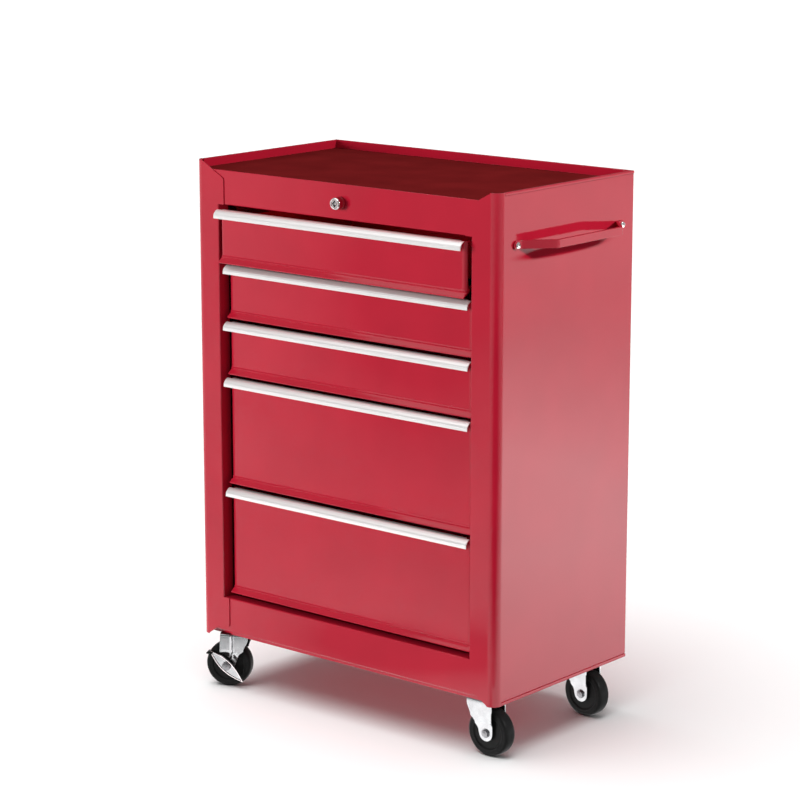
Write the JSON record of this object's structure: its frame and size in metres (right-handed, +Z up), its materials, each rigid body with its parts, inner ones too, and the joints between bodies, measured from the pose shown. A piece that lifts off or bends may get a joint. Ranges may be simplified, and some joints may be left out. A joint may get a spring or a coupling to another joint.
{
  "type": "rolling tool cart",
  "caption": "Steel tool cart with an open top tray, sliding drawers under full-width pulls, a cam lock, a side handle and braked swivel casters.",
  "frame": {"origin": "centre of the footprint of the whole cart, on the floor under the wheels", "axes": "+Z up, +X to the cart's right with the side handle on it, -Y out of the drawer fronts"},
  "size_m": [0.6184, 0.3376, 0.823],
  "materials": {
    "red_paint": "gloss powder coat",
    "tray_paint": "dark matt powder coat on the tray floor",
    "aluminium_trim": "satin anodised",
    "zinc_plate": "bright zinc plate",
    "chrome": "polished",
    "wheel": "moulded satin black"
  },
  "bodies": {
    "cabinet": {"side_left": "red_paint", "side_right": "red_paint", "back_panel": "red_paint", "top_tray": "tray_paint", "front_apron": "red_paint", "bottom_rail": "red_paint", "bottom_pan": "red_paint", "rack_left": "zinc_plate", "rack_right": "zinc_plate", "side_handle": "red_paint", "handle_screw_front": "chrome", "handle_screw_rear": "chrome", "lock_housing": "chrome", "lock_nut": "zinc_plate", "bar_guide_upper": "zinc_plate", "bar_guide_lower": "zinc_plate", "caster_fl_plate": "zinc_plate", "caster_fr_plate": "zinc_plate", "caster_rl_plate": "zinc_plate", "caster_rr_plate": "zinc_plate"},
    "drawer_1": {"drawer_1_tub": "red_paint", "drawer_1_pull": "aluminium_trim", "drawer_1_runner_left": "zinc_plate", "drawer_1_runner_right": "zinc_plate"},
    "drawer_2": {"drawer_2_tub": "red_paint", "drawer_2_pull": "aluminium_trim", "drawer_2_runner_left": "zinc_plate", "drawer_2_runner_right": "zinc_plate"},
    "drawer_3": {"drawer_3_tub": "red_paint", "drawer_3_pull": "aluminium_trim", "drawer_3_runner_left": "zinc_plate", "drawer_3_runner_right": "zinc_plate"},
    "drawer_4": {"drawer_4_tub": "red_paint", "drawer_4_pull": "aluminium_trim", "drawer_4_runner_left": "zinc_plate", "drawer_4_runner_right": "zinc_plate"},
    "drawer_5": {"drawer_5_tub": "red_paint", "drawer_5_pull": "aluminium_trim", "drawer_5_runner_left": "zinc_plate", "drawer_5_runner_right": "zinc_plate"},
    "lock_plug": {"lock_plug": "chrome", "lock_rod": "zinc_plate"},
    "lock_bar": {"lock_bar": "zinc_plate"},
    "caster_fr_swivel": {"caster_fr_fork": "zinc_plate", "caster_fr_axle": "zinc_plate"},
    "caster_fr_wheel": {"caster_fr_wheel": "wheel"},
    "caster_rr_swivel": {"caster_rr_fork": "zinc_plate", "caster_rr_axle": "zinc_plate"},
    "caster_rr_wheel": {"caster_rr_wheel": "wheel"},
    "caster_fl_swivel": {"caster_fl_fork": "zinc_plate", "caster_fl_axle": "zinc_plate"},
    "caster_fl_wheel": {"caster_fl_wheel": "wheel"},
    "caster_fl_brake": {"caster_fl_brake": "zinc_plate"},
    "caster_rl_swivel": {"caster_rl_fork": "zinc_plate", "caster_rl_axle": "zinc_plate"},
    "caster_rl_wheel": {"caster_rl_wheel": "wheel"},
    "caster_rl_brake": {"caster_rl_brake": "zinc_plate"}
  },
  "joints": [
    {"name": "drawer_1_slide", "type": "slide", "parent": "cabinet", "child": "drawer_1", "axis": [0, -1, 0], "range_m": [-0.0175, 0.2175]},
    {"name": "drawer_2_slide", "type": "slide", "parent": "cabinet", "child": "drawer_2", "axis": [0, -1, 0], "range_m": [0, 0.235]},
    {"name": "drawer_3_slide", "type": "slide", "parent": "cabinet", "child": "drawer_3", "axis": [0, -1, 0], "range_m": [0, 0.235]},
    {"name": "drawer_4_slide", "type": "slide", "parent": "cabinet", "child": "drawer_4", "axis": [0, -1, 0], "range_m": [0, 0.235]},
    {"name": "drawer_5_slide", "type": "slide", "parent": "cabinet", "child": "drawer_5", "axis": [0, -1, 0], "range_m": [0, 0.235]},
    {"name": "lock_turn", "type": "hinge", "parent": "cabinet", "child": "lock_plug", "pos_m": [-0.01732, -0.15125, 0.7836], "axis": [0, 1, 0], "range_deg": [0, 90]},
    {"name": "lock_bar_lift", "type": "slide", "parent": "cabinet", "child": "lock_bar", "axis": [0, 0, 1], "range_m": [0, 0.008]},
    {"name": "caster_fr_swivel", "type": "hinge", "parent": "cabinet", "child": "caster_fr_swivel", "pos_m": [0.21818, -0.11625, 0.085], "axis": [0, 0, 1], "continuous": true},
    {"name": "caster_fr_roll", "type": "hinge", "parent": "caster_fr_swivel", "child": "caster_fr_wheel", "pos_m": [0.23918, -0.11625, 0.036], "axis": [0, 1, 0], "continuous": true},
    {"name": "caster_rr_swivel", "type": "hinge", "parent": "cabinet", "child": "caster_rr_swivel", "pos_m": [0.21818, 0.11675, 0.085], "axis": [0, 0, 1], "continuous": true},
    {"name": "caster_rr_roll", "type": "hinge", "parent": "caster_rr_swivel", "child": "caster_rr_wheel", "pos_m": [0.23913, 0.11528, 0.036], "axis": [0.0698, 0.9976, 0], "continuous": true},
    {"name": "caster_fl_swivel", "type": "hinge", "parent": "cabinet", "child": "caster_fl_swivel", "pos_m": [-0.25282, -0.11625, 0.085], "axis": [0, 0, 1], "continuous": true},
    {"name": "caster_fl_roll", "type": "hinge", "parent": "caster_fl_swivel", "child": "caster_fl_wheel", "pos_m": [-0.27153, -0.12578, 0.036], "axis": [0.454, -0.891, 0], "continuous": true},
    {"name": "caster_fl_brake", "type": "hinge", "parent": "caster_fl_swivel", "child": "caster_fl_brake", "pos_m": [-0.27153, -0.12578, 0.036], "axis": [0.454, -0.891, 0], "range_deg": [-8, 22]},
    {"name": "caster_rl_swivel", "type": "hinge", "parent": "cabinet", "child": "caster_rl_swivel", "pos_m": [-0.25282, 0.11675, 0.085], "axis": [0, 0, 1], "continuous": true},
    {"name": "caster_rl_roll", "type": "hinge", "parent": "caster_rl_swivel", "child": "caster_rl_wheel", "pos_m": [-0.27301, 0.11096, 0.036], "axis": [0.2756, -0.9613, 0], "continuous": true},
    {"name": "caster_rl_brake", "type": "hinge", "parent": "caster_rl_swivel", "child": "caster_rl_brake", "pos_m": [-0.27301, 0.11096, 0.036], "axis": [0.2756, -0.9613, 0], "range_deg": [-8, 22]}
  ],
  "couplings": [
    {"joint": "lock_turn", "follows": "lock_bar_lift", "rad_per_m": 196.3}
  ]
}
